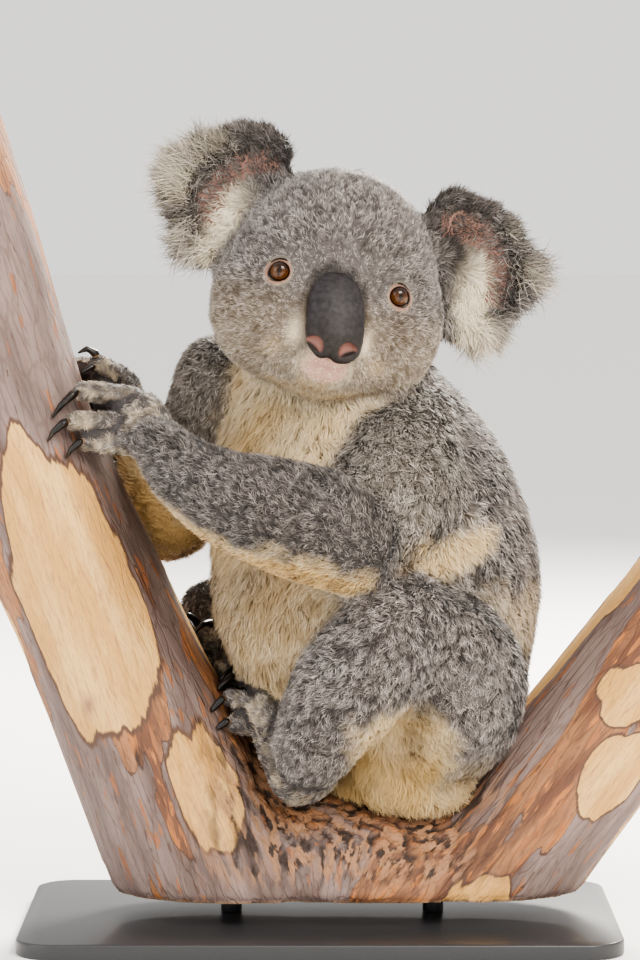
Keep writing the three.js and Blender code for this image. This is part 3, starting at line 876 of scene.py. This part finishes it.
def addLid(side, centre, look, right, over):
    inwards = math.radians(-lidShape["cornerTurn"] if side == "right" else 180 + lidShape["cornerTurn"])
    around, steps = lidShape["around"], lidShape["steps"]
    verts = [lidPoint(centre, look, right, over, inwards, 2 * math.pi * k / around, step / steps)
             for step in range(steps + 1) for k in range(around)]
    faces = []
    for low in range(0, steps * around, around):
        for k in range(around):
            after = (k + 1) % around
            faces.append((low + k, low + after, low + around + after, low + around + k))
    mesh = bpy.data.meshes.new("eyelid_" + side)
    mesh.from_pydata([tuple(v) for v in verts], [], faces)
    storeValues(mesh, "lidReach", np.repeat(np.arange(steps + 1) / steps, around))
    lid = inScene("eyelid_" + side, mesh)
    if sum((np.array(p.normal) @ look) for p in mesh.polygons) < 0:
        mesh.flip_normals()
    applyModifier(lid, "SOLIDIFY", thickness=lidShape["thick"] * mm, offset=-1)
    shadeSmooth(lid.data)
    finishPiece(lid, "nose_skin", lidMaterial)


for side, sign in sides:
    sideTurn = math.radians(eyeLook["outwardTurn"]) * sign
    look = unit(-backward * math.cos(sideTurn) + across * math.sin(sideTurn))
    right = unit(np.cross(upward, -look))
    over = np.cross(-look, right)
    addEyeball(side, eyeMiddle[side], np.array([right, -look, over]))  # x across, y into the head, z up
    addLid(side, eyeMiddle[side], look, right, over)
applyModifier(skin, "DECIMATE", ratio=skinLook["kept"])
print("eyes and lids")


# Nose pad: a smooth leathery shield with two slanted nostrils, pink inside

noseLook = {
    "voxel": 0.8, "rounds": 18, "swell": 0.35, "nostril": (9.8, -35.6), "long": 6.6, "tall": 4.3, "slant": 28,
    "deep": 4.6, "frontAt": -76, "philtrum": (1.5, 2.0), "notch": (4.0, 2.2),  # half width and depth
    "upper": ((0.010, 0.0085, 0.009), (0.025, 0.021, 0.023)),
    "lower": ((0.009, 0.006, 0.005), (0.020, 0.014, 0.012)),
    "pit": (0.02, 0.012, 0.010), "flesh": (0.19, 0.085, 0.068),
}
nose, table, counts = remeshed("nose", noseLook["voxel"], "nose_pad")
spots = relaxed(pointsOf(nose.data), table, counts, noseLook["rounds"])
spots = spots + (normalsOf(nose.data) * noseLook["swell"] * mm)
place = inHead(spots)
front = ease(4, -4, place[:, 1] - noseLook["frontAt"])
slant = math.radians(noseLook["slant"])
flesh = np.zeros(len(spots))
pit = np.zeros(len(spots))
for side, sign in sides:
    dx, dz = sign * (place[:, 0] - sign * noseLook["nostril"][0]), place[:, 2] - noseLook["nostril"][1]
    u = dx * math.cos(slant) + dz * math.sin(slant)
    v = -dx * math.sin(slant) + dz * math.cos(slant) + 0.05 * u ** 2
    away = np.hypot(u / noseLook["long"], v / noseLook["tall"])
    pit = np.maximum(pit, ease(1.15, 0.45, away) * front)
    flesh = np.maximum(flesh, ease(1.05, 0.7, away) * ease(-2.6, -0.6, v) * front)
spots = spots + backward * (pit * noseLook["deep"] * mm)[:, None]
(philtrumHalf, philtrumDeep), (notchHalf, notchDeep) = noseLook["philtrum"], noseLook["notch"]
philtrum = bell(place[:, 0], philtrumHalf) * ease(-36, -43, place[:, 2])
notch = bell(place[:, 0], notchHalf) * ease(-40, -46, place[:, 2])
spots = spots + backward * (philtrum * philtrumDeep * mm)[:, None]
spots = spots + upward * (notch * notchDeep * mm)[:, None]
movePoints(nose.data, spots)
shadeSmooth(nose.data)
storeColour(nose.data, "noseMarks", flesh, ease(-12, -34, place[:, 2]), pit)
noseMaterial, shader = newMaterial("nose_leather", Roughness=0.55, **{"Specular IOR Level": 0.32})
noseSplit = channelsOf(storedIn("noseMarks"))
mottle = ranged(noiseNode(3.5 * mm, 5), 0.3, 0.7)
upper, lower = (mixed(mottle, *noseLook[part]) for part in ("upper", "lower"))
colour = layered(upper, (noseSplit[1], lower), (times(noseSplit[2], 0.7), noseLook["pit"]),
                 (noseSplit[0], noseLook["flesh"]))
link(colour, shader.inputs["Base Color"])
pebble = addNode("ShaderNodeTexVoronoi")
pebble.inputs["Scale"].default_value = 1 / (0.95 * mm)
link(addNode("ShaderNodeTexCoord").outputs["Object"], pebble.inputs["Vector"])
pores = times(noiseNode(0.9 * mm, 4), 0.5)
bumped(shader, added(times(pebble.outputs["Distance"], 0.5), pores), 0.55, 0.5 * mm)
finishPiece(nose, "nose_skin", noseMaterial, "nose_pad")
print("nose", len(spots), "points")


# Claws

clawLook = {
    "voxel": 0.45, "rounds": 45, "swell": 0.5,
    "horn": ((0.008, 0.006, 0.005), (0.05, 0.030, 0.019)), "cuticle": (0.34, 0.21, 0.11),
}
clawMaterial, shader = newMaterial("claw_horn", Roughness=0.3, **{"Specular IOR Level": 0.4})
grain = noiseNode(2.5 * mm, 4)
horn = mixed(ranged(grain, 0.5, 0.8), *clawLook["horn"])
horn = mixed(storedIn("cuticle", "Fac"), horn, clawLook["cuticle"])
link(horn, shader.inputs["Base Color"])
bumped(shader, grain, 0.3, 0.2 * mm)
for node in sorted(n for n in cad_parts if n.startswith("claw")):
    claw, table, counts = remeshed("horn_" + node[5:], clawLook["voxel"], node)
    movePoints(claw.data, relaxed(pointsOf(claw.data), table, counts, clawLook["rounds"]))
    movePoints(claw.data, pointsOf(claw.data) + normalsOf(claw.data) * clawLook["swell"] * mm)
    shadeSmooth(claw.data)
    skinAway = np.array([skinTree.find_nearest(Vector(p))[3] for p in pointsOf(claw.data)]) / mm
    storeValues(claw.data, "cuticle", ease(3.2, 1.6, skinAway))
    finishPiece(claw, "claw", clawMaterial, node)
print("claws")


# Perch: smooth gum bark in plates of cream, salmon and mauve-grey, rough down in the fork

barkLook = {
    "voxel": 2.7, "plate": 0.8, "ridge": 2.6, "grain": 0.16, "crotch": (0.02, 0, 0.06),
    # plates of paler bark on the front: across, up, half width and half height
    "plates": ((-0.150, 0.204, 0.036, 0.086), (-0.077, 0.098, 0.022, 0.045), (0.200, 0.158, 0.020, 0.022),
               (0.190, 0.108, 0.022, 0.028), (0.094, 0.010, 0.022, 0.034)),
    "knots": ((-0.148, 0.152), (-0.116, 0.119)), "knotHalf": (0.004, 0.007),
}
barkColours = {
    "grey": ((0.125, 0.084, 0.074), (0.245, 0.178, 0.158)),
    "orange": ((0.13, 0.052, 0.027), (0.33, 0.152, 0.068)),
    "rust": (0.40, 0.15, 0.045), "peeledEdge": (0.075, 0.038, 0.026), "flake": (0.30, 0.115, 0.045),
    "stroke": (0.085, 0.045, 0.03), "crack": (0.09, 0.045, 0.03), "plateEdge": (0.09, 0.045, 0.028),
    "plate": ((0.54, 0.295, 0.09), (0.68, 0.43, 0.17)), "plateStreak": (0.44, 0.22, 0.09),
    "ridges": ((0.028, 0.015, 0.010), (0.32, 0.17, 0.09)), "speck": (0.09, 0.05, 0.035),
    "wood": ((0.42, 0.26, 0.15), (0.60, 0.42, 0.27)),
}
perch, table, counts = remeshed("gum_fork", barkLook["voxel"], "perch_fork")
bark = pointsOf(perch.data)
perchNormals = normalsOf(perch.data)
limbWays = {"left": unit(np.array([-31.0, 0, 96])), "right": unit(np.array([60.0, 0, 80]))}
sawn = np.maximum.reduce([
    ease(0.90, 0.97, -perchNormals[:, 2]) * ease(0.034, 0.029, bark[:, 2]),
    ease(0.90, 0.97, perchNormals @ limbWays["left"]) * ease(0.50, 0.53, bark[:, 2]),
    ease(0.90, 0.97, perchNormals @ limbWays["right"]) * ease(0.24, 0.26, bark[:, 0])])
crotch = ease(0.125, 0.05, np.hypot(bark[:, 0] - 0.02, (bark[:, 2] - 0.085) * 0.8))
crotch = crotch * ease(0.03, 0.05, bark[:, 2])
softened = relaxed(bark, table, counts, 14)
melted = relaxed(softened, table, counts, 70)
softened = softened * (1 - crotch)[:, None] + melted * crotch[:, None]
bark = bark * sawn[:, None] + softened * (1 - sawn)[:, None]
movePoints(perch.data, bark)
barkNormals = normalsOf(perch.data)

# The bark's own coordinates: round the limb, across it and along its grain, measured from the crotch
onRight = ease(-0.02, 0.06, bark[:, 0] - 0.35 * (bark[:, 2] - 0.05))[:, None]
grainWay = unit(limbWays["left"] * (1 - onRight) + limbWays["right"] * onRight)
fromCrotch = bark - np.array(barkLook["crotch"])
aroundWay = np.cross(grainWay, (0, 1.0, 0))
barkPlace = np.stack([(fromCrotch * aroundWay).sum(1), bark[:, 1], (fromCrotch * grainWay).sum(1)], 1)
streaky = barkPlace * np.array([1, 1, 0.20])
plates = noiseAt(streaky, 0.034, 51) + 0.32 * noiseAt(streaky, 0.013, 53) + 0.09 * noiseAt(streaky, 0.005, 57)
salmon = noiseAt(streaky, 0.05, 61) + 0.4 * noiseAt(streaky, 0.012, 63)
shown = np.full(len(bark), -1.0)
for x, z, wide, tall in barkLook["plates"]:
    lean = 0.32 * (bark[:, 2] - z) * (1 if x < 0 else -0.7)
    shown = np.maximum(shown, 1 - np.hypot((bark[:, 0] - x + lean) / wide, (bark[:, 2] - z) / tall))
onFront = ease(-0.01, -0.035, bark[:, 1])
plateField = (0.5 * shown + 0.32 * plates) * onFront + (plates - 0.22) * (1 - onFront)
plate = ease(-0.02, 0.03, plateField)
knotHalf = np.array(barkLook["knotHalf"])
knot = np.max([np.exp(-(((bark[:, [0, 2]] - spot) / knotHalf) ** 2).sum(1)) for spot in barkLook["knots"]], 0)
knot = knot * onFront
furrows = np.abs(noiseAt(barkPlace * np.array([1, 1, barkLook["grain"]]), 0.0065, 71))
rough = crotch * ease(0.28, 0.05, furrows)
lift = 1.2 * knot - barkLook["plate"] * plate - barkLook["ridge"] * rough + 0.5 * noiseAt(streaky, 0.02, 77)
movePoints(perch.data, bark + barkNormals * ((lift * (1 - sawn))[:, None] - 0.3) * mm)
shadeSmooth(perch.data)
ringPlace = np.zeros((len(bark), 3))
for way, mine in ((limbWays["left"], bark[:, 2] > 0.45), (limbWays["right"], bark[:, 0] > 0.2)):
    mine = mine & (sawn > 0.5)
    away = bark[mine] - bark[mine].mean(0)
    ringPlace[mine] = np.stack([(away * np.cross(way, (0, 1.0, 0))).sum(1), away[:, 1], away[:, 0] * 0], 1)
storeValues(perch.data, "ringPlace", ringPlace)
storeValues(perch.data, "barkPlace", barkPlace)
storeColour(perch.data, "barkMarks", np.clip(0.5 + plateField, 0, 1), ease(-0.15, 0.35, salmon),
            np.clip(rough + 0.3 * crotch + knot, 0, 1), sawn)

barkMaterial, shader = newMaterial("gum_bark", Roughness=0.72)
barkNode = addNode("ShaderNodeAttribute", attribute_name="barkMarks")
plateMark, peeledMark, roughMark = channelsOf(barkNode.outputs["Color"])
stretch = addNode("ShaderNodeMapping")
stretch.inputs["Scale"].default_value = (1, 1, barkLook["grain"])
link(storedIn("barkPlace", "Vector"), stretch.inputs["Vector"])
grained = stretch.outputs[0]
fibre = noiseNode(2.4 * mm, 6, grained)
mottle = noiseNode(14 * mm, 6, grained)
ragged = noiseNode(8 * mm, 5, grained)
peeled = added(peeledMark, times(ragged, 0.9))
jagged = added(plateMark, times(ragged, 0.22))
cells = addNode("ShaderNodeTexVoronoi", feature="DISTANCE_TO_EDGE")
cells.inputs["Scale"].default_value = 1 / (6.5 * mm)
warped = addNode("ShaderNodeVectorMath", operation="MULTIPLY_ADD")
warped.inputs[1].default_value = (0.004, 0.004, 0.004)
link(noiseNode(4 * mm, 2, grained, "Color"), warped.inputs[0])
link(grained, warped.inputs[2])
link(warped.outputs[0], cells.inputs["Vector"])
crack = ranged(cells.outputs["Distance"], 0.10, 0.0)
rust = ranged(noiseNode(4 * mm, 5, grained), 0.56, 0.62)
flakes = ranged(noiseNode(5 * mm, 6, grained), 0.60, 0.64)
ridges = ranged(noiseNode(5.5 * mm, 7, grained), 0.46, 0.53)
specks = ranged(noiseNode(1.1 * mm, 5, grained), 0.5, 0.72)
rings = addNode("ShaderNodeTexWave", wave_type="RINGS", rings_direction="Z")
rings.inputs["Scale"].default_value = 55
rings.inputs["Distortion"].default_value = 1.2
link(storedIn("ringPlace", "Vector"), rings.inputs["Vector"])
grey = mixed(ranged(mottle, 0.3, 0.7), *barkColours["grey"])
orange = mixed(ranged(mottle, 0.35, 0.6), *barkColours["orange"])
creamy = mixed(ranged(mottle, 0.4, 0.7), *barkColours["plate"])
creamStreaks = times(ranged(fibre, 0.57, 0.66), 0.6)
colour = layered(
    grey,
    (ranged(peeled, 0.74, 0.76), barkColours["peeledEdge"]),
    (ranged(peeled, 0.78, 0.80), mixed(rust, orange, barkColours["rust"])),
    (times(flakes, 0.85), barkColours["flake"]),
    (times(ranged(fibre, 0.62, 0.67), 0.7), barkColours["stroke"]),
    (times(crack, 0.3), barkColours["crack"]),
    (ranged(jagged, 0.565, 0.595), barkColours["plateEdge"]),
    (ranged(jagged, 0.605, 0.625), mixed(creamStreaks, creamy, barkColours["plateStreak"])),
    (roughMark, mixed(ridges, *barkColours["ridges"])),
    (times(specks, 0.3), barkColours["speck"]),
    (barkNode.outputs["Alpha"], mixed(rings.outputs["Fac"], *barkColours["wood"])),
)
link(colour, shader.inputs["Base Color"])
relief = worked("SUBTRACT", times(fibre, 0.6), times(crack, 0.35))
bumped(shader, relief, 0.8, 1.4 * mm)
finishPiece(perch, "bark", barkMaterial, "perch_fork")
print("perch", len(bark), "points")


# Stand: satin painted steel

standLook = {
    "corner": 26, "edge": 1.4, "rodEdge": 0.5,
    "paint": ((0.020, 0.021, 0.023), (0.036, 0.037, 0.040)),
}
standMaterial, shader = newMaterial("stand_paint", Roughness=0.42, **{"Coat Weight": 0.15})
grit = noiseNode(0.8 * mm, 3)
link(mixed(grit, *standLook["paint"]), shader.inputs["Base Color"])
bumped(shader, grit, 0.12, 0.1 * mm)


def markUprights(mesh, tall):
    weights = mesh.attributes.new("bevel_weight_edge", "FLOAT", "EDGE")
    for edge in mesh.edges:
        ends = [mesh.vertices[v].co.z for v in edge.vertices]
        if abs(ends[0] - ends[1]) > tall / 2:
            weights.data[edge.index].value = 1


for node in ("stand_base", "stand_rod_1", "stand_rod_2"):
    low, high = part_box(node)
    size, centre = high - low, (high + low) / 2
    bpy.ops.object.select_all(action="DESELECT")
    if node == "stand_base":
        bpy.ops.mesh.primitive_cube_add(size=1, location=centre)
        piece = bpy.context.object
        piece.scale = size
        bpy.ops.object.transform_apply(location=True, rotation=True, scale=True)
        markUprights(piece.data, size.z)
        applyModifier(piece, "BEVEL", limit_method="WEIGHT", width=standLook["corner"] * mm, segments=14)
        applyModifier(piece, "BEVEL", limit_method="ANGLE", width=standLook["edge"] * mm, segments=3)
    else:
        bpy.ops.mesh.primitive_cylinder_add(vertices=48, radius=size.x / 2, depth=size.z, location=centre)
        piece = bpy.context.object
        bpy.ops.object.transform_apply(location=True, rotation=True, scale=True)
        applyModifier(piece, "BEVEL", limit_method="ANGLE", width=standLook["rodEdge"] * mm, segments=2)
    piece.name = piece.data.name = node + "_finish"
    selectOnly(piece)
    bpy.ops.object.shade_smooth_by_angle(angle=math.radians(35))
    finishPiece(piece, "stand_metal", standMaterial, node)
print("stand")


# Floor, light and camera

studio = {
    "floor": (0.94, 0.93, 0.91, 1), "world": (1.0, 0.985, 0.96, 1), "worldStrength": 1.1, "aim": (0, 0, 0.3),
    "look": "AgX - Medium High Contrast",
}
lamps = {
    "key": {"place": (0.9, -1.7, 1.7), "energy": 75, "size": 1.2, "color": (1, 0.94, 0.86)},
    "fill": {"place": (-1.8, -1.3, 1.0), "energy": 24, "size": 1.6, "color": (0.93, 0.96, 1)},
    "rim": {"place": (0.7, 1.7, 1.6), "energy": 150, "size": 0.8, "color": (1, 0.95, 0.86)},
}
view = {"target": (0, 0, 0.293), "distance": 2.4, "pitch": 4, "sensor": 24, "lens": 92.3}

bpy.ops.object.select_all(action="DESELECT")
bpy.ops.mesh.primitive_plane_add(size=60)
floor = bpy.context.object
floor.name = "floor"
floorMaterial, shader = newMaterial("studio_floor", Roughness=0.9)
shader.inputs["Base Color"].default_value = studio["floor"]
floor.data.materials.append(floorMaterial)

for name, lampLook in lamps.items():
    lamp = bpy.data.lights.new(name, "AREA")
    lamp.energy, lamp.size, lamp.color = lampLook["energy"], lampLook["size"], lampLook["color"]
    holder = inScene(name, lamp)
    holder.location = lampLook["place"]
    holder.rotation_euler = (Vector(studio["aim"]) - holder.location).to_track_quat("-Z", "Y").to_euler()

world = bpy.data.worlds.new("studio")
world.use_nodes = True
world.node_tree.nodes["Background"].inputs[0].default_value = studio["world"]
world.node_tree.nodes["Background"].inputs[1].default_value = studio["worldStrength"]
bpy.context.scene.world = world
bpy.context.scene.view_settings.look = studio["look"]

lens = bpy.data.cameras.new("camera")
lens.sensor_fit, lens.sensor_height, lens.lens = "VERTICAL", view["sensor"], view["lens"]
camera = inScene("camera", lens)
pitch = math.radians(view["pitch"])
away = view["distance"]
camera.location = (0, -away * math.cos(pitch), view["target"][2] + away * math.sin(pitch))
camera.rotation_euler = (math.radians(90 - view["pitch"]), 0, 0)
bpy.context.scene.camera = camera
print("stage, lamps and camera")

bpy.context.view_layer.update()
